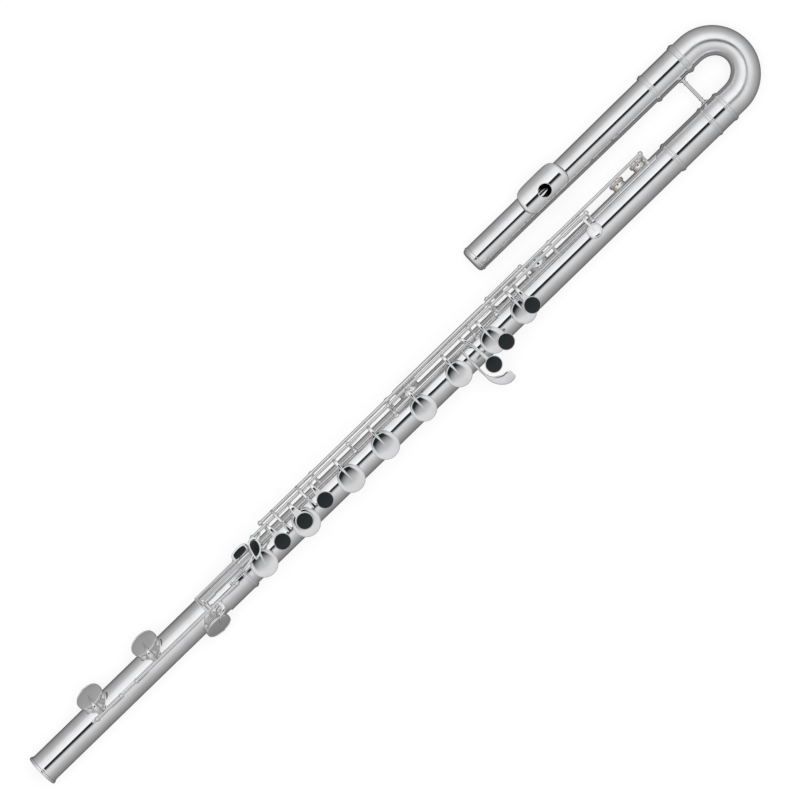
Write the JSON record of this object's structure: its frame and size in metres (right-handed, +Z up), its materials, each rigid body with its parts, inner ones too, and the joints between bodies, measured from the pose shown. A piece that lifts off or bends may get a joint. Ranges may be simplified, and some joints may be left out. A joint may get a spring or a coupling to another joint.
{
  "type": "bass flute",
  "caption": "Bass flute with a U-bend, a head joint lying back beside the body and open-cup keywork down to a foot joint with three little-finger keys.",
  "frame": {"origin": "centre of the bounding box's base, where the flute lies on a table with its keys up", "axes": "+X along the main tube from the foot's open end to the bend, +Y from the main tube towards the head joint, +Z up, away from the table"},
  "size_m": [1.0156, 0.1332, 0.0539],
  "materials": {
    "silver_plate": "bright silver plate with a soft polish",
    "steel": "ground steel rod",
    "black_inlay": "polished black inlay",
    "pad_skin": "skin over felt",
    "cork": "turned cork"
  },
  "bodies": {
    "body": {"body_tube": "silver_plate", "body_receiver": "silver_plate", "body_rib": "silver_plate", "lower_stack_rod": "steel", "upper_stack_rod": "steel", "thumb_rod": "steel", "g_sharp_rod": "steel"},
    "foot": {"foot_tube": "silver_plate", "foot_socket": "silver_plate", "foot_rib": "silver_plate"},
    "low_c": {"low_c_key": "silver_plate", "low_c_pad": "pad_skin"},
    "low_c_roller": {"low_c_roller": "silver_plate"},
    "low_c_sharp": {"low_c_sharp_key": "silver_plate", "low_c_sharp_pad": "pad_skin", "low_c_sharp_inlay": "black_inlay"},
    "e_flat": {"e_flat_key": "silver_plate", "e_flat_pad": "pad_skin", "e_flat_inlay": "black_inlay"},
    "d": {"d_key": "silver_plate", "d_pad": "pad_skin", "d_inlay": "black_inlay"},
    "e": {"e_key": "silver_plate", "e_pad": "pad_skin", "e_inlay": "black_inlay"},
    "f": {"f_key": "silver_plate", "f_pad": "pad_skin", "f_inlay": "black_inlay"},
    "f_sharp": {"f_sharp_key": "silver_plate", "f_sharp_pad": "pad_skin"},
    "g": {"g_key": "silver_plate", "g_lower_pad": "pad_skin", "g_upper_pad": "pad_skin", "g_inlay": "black_inlay"},
    "a": {"a_key": "silver_plate", "a_pad": "pad_skin", "a_inlay": "black_inlay"},
    "b_flat": {"b_flat_key": "silver_plate", "b_flat_pad": "pad_skin"},
    "c": {"c_key": "silver_plate", "c_pad": "pad_skin", "c_inlay": "black_inlay"},
    "g_sharp": {"g_sharp_key": "silver_plate", "g_sharp_pad": "pad_skin"},
    "d_sharp_trill": {"d_sharp_trill_key": "silver_plate", "d_sharp_trill_pad": "pad_skin"},
    "d_trill": {"d_trill_key": "silver_plate", "d_trill_pad": "pad_skin"},
    "thumb_b": {"thumb_b_key": "silver_plate", "thumb_b_pad": "pad_skin"},
    "thumb_b_flat": {"thumb_b_flat_lever": "silver_plate"},
    "bend": {"u_bend": "silver_plate", "bend_collar": "silver_plate", "head_socket": "silver_plate", "bend_brace": "silver_plate"},
    "head": {"head_tube": "silver_plate", "lip_plate": "silver_plate", "head_cork": "cork", "cork_screw": "steel"},
    "crown": {"crown": "silver_plate"}
  },
  "joints": [
    {"name": "foot_turn", "type": "hinge", "parent": "body", "child": "foot", "pos_m": [-0.238, -0.018, 0.0183], "axis": [1, 0, 0], "range_deg": [-3, 3]},
    {"name": "low_c_turn", "type": "hinge", "parent": "foot", "child": "low_c", "pos_m": [-0.32, -0.0195, 0.03985], "axis": [1, 0, 0], "range_deg": [-10, 0], "stiffness_Nm_per_rad": 0.03, "springref_deg": 20.05},
    {"name": "low_c_roller_turn", "type": "hinge", "parent": "low_c", "child": "low_c_roller", "pos_m": [-0.2129, -0.0061, 0.04161], "axis": [1, 0, 0], "continuous": true},
    {"name": "low_c_sharp_turn", "type": "hinge", "parent": "foot", "child": "low_c_sharp", "pos_m": [-0.29, -0.0195, 0.03985], "axis": [1, 0, 0], "range_deg": [-10, 0], "stiffness_Nm_per_rad": 0.03, "springref_deg": 20.05},
    {"name": "e_flat_turn", "type": "hinge", "parent": "foot", "child": "e_flat", "pos_m": [-0.25, -0.0195, 0.03985], "axis": [1, 0, 0], "range_deg": [-8, 0], "stiffness_Nm_per_rad": 0.03, "springref_deg": 20.05},
    {"name": "d_turn", "type": "hinge", "parent": "body", "child": "d", "pos_m": [-0.19, 0.00266, 0.04006], "axis": [1, 0, 0], "range_deg": [0, 8], "stiffness_Nm_per_rad": 0.03, "springref_deg": -20.05},
    {"name": "e_turn", "type": "hinge", "parent": "body", "child": "e", "pos_m": [-0.14, 0.00266, 0.04006], "axis": [1, 0, 0], "range_deg": [0, 8], "stiffness_Nm_per_rad": 0.03, "springref_deg": -20.05},
    {"name": "f_turn", "type": "hinge", "parent": "body", "child": "f", "pos_m": [-0.09, 0.00266, 0.04006], "axis": [1, 0, 0], "range_deg": [0, 8], "stiffness_Nm_per_rad": 0.03, "springref_deg": -20.05},
    {"name": "f_sharp_turn", "type": "hinge", "parent": "body", "child": "f_sharp", "pos_m": [-0.03, 0.00266, 0.04006], "axis": [1, 0, 0], "range_deg": [0, 8], "stiffness_Nm_per_rad": 0.03, "springref_deg": -20.05},
    {"name": "g_turn", "type": "hinge", "parent": "body", "child": "g", "pos_m": [0.05, 0.00266, 0.04006], "axis": [1, 0, 0], "range_deg": [0, 8], "stiffness_Nm_per_rad": 0.03, "springref_deg": -20.05},
    {"name": "a_turn", "type": "hinge", "parent": "body", "child": "a", "pos_m": [0.118, 0.00266, 0.04006], "axis": [1, 0, 0], "range_deg": [0, 8], "stiffness_Nm_per_rad": 0.03, "springref_deg": -20.05},
    {"name": "b_flat_turn", "type": "hinge", "parent": "body", "child": "b_flat", "pos_m": [0.155, 0.00266, 0.04006], "axis": [1, 0, 0], "range_deg": [0, 8], "stiffness_Nm_per_rad": 0.03, "springref_deg": -20.05},
    {"name": "c_turn", "type": "hinge", "parent": "body", "child": "c", "pos_m": [0.22, 0.00266, 0.04006], "axis": [1, 0, 0], "range_deg": [0, 8], "stiffness_Nm_per_rad": 0.03, "springref_deg": -20.05},
    {"name": "g_sharp_turn", "type": "hinge", "parent": "body", "child": "g_sharp", "pos_m": [0.05, -0.00661, 0.03583], "axis": [1, 0, 0], "range_deg": [0, 7], "stiffness_Nm_per_rad": 0.03, "springref_deg": -20.05},
    {"name": "d_sharp_trill_turn", "type": "hinge", "parent": "body", "child": "d_sharp_trill", "pos_m": [0.1, 0.00754, 0.03552], "axis": [1, 0, 0], "range_deg": [0, 8], "stiffness_Nm_per_rad": 0.03, "springref_deg": -20.05},
    {"name": "d_trill_turn", "type": "hinge", "parent": "body", "child": "d_trill", "pos_m": [0.1, 0.00754, 0.03552], "axis": [1, 0, 0], "range_deg": [0, 8], "stiffness_Nm_per_rad": 0.03, "springref_deg": -20.05},
    {"name": "thumb_b_turn", "type": "hinge", "parent": "body", "child": "thumb_b", "pos_m": [0.175, 0.00998, 0.02632], "axis": [1, 0, 0], "range_deg": [-8, 0], "stiffness_Nm_per_rad": 0.03, "springref_deg": 20.05},
    {"name": "thumb_b_flat_turn", "type": "hinge", "parent": "body", "child": "thumb_b_flat", "pos_m": [0.15, 0.00998, 0.02632], "axis": [1, 0, 0], "range_deg": [-8, 0], "stiffness_Nm_per_rad": 0.03, "springref_deg": 20.05},
    {"name": "bend_turn", "type": "hinge", "parent": "body", "child": "bend", "pos_m": [0.4, -0.018, 0.0183], "axis": [1, 0, 0], "range_deg": [-15, 15]},
    {"name": "tuning_slide", "type": "slide", "parent": "bend", "child": "head", "axis": [-1, 0, 0], "range_m": [0, 0.015]},
    {"name": "crown_turn", "type": "hinge", "parent": "head", "child": "crown", "pos_m": [0.159, 0.0475, 0.0183], "axis": [1, 0, 0], "continuous": true}
  ],
  "couplings": [
    {"joint": "f_sharp_turn", "follows": "f_turn", "ratio": 1},
    {"joint": "b_flat_turn", "follows": "a_turn", "ratio": 1}
  ]
}
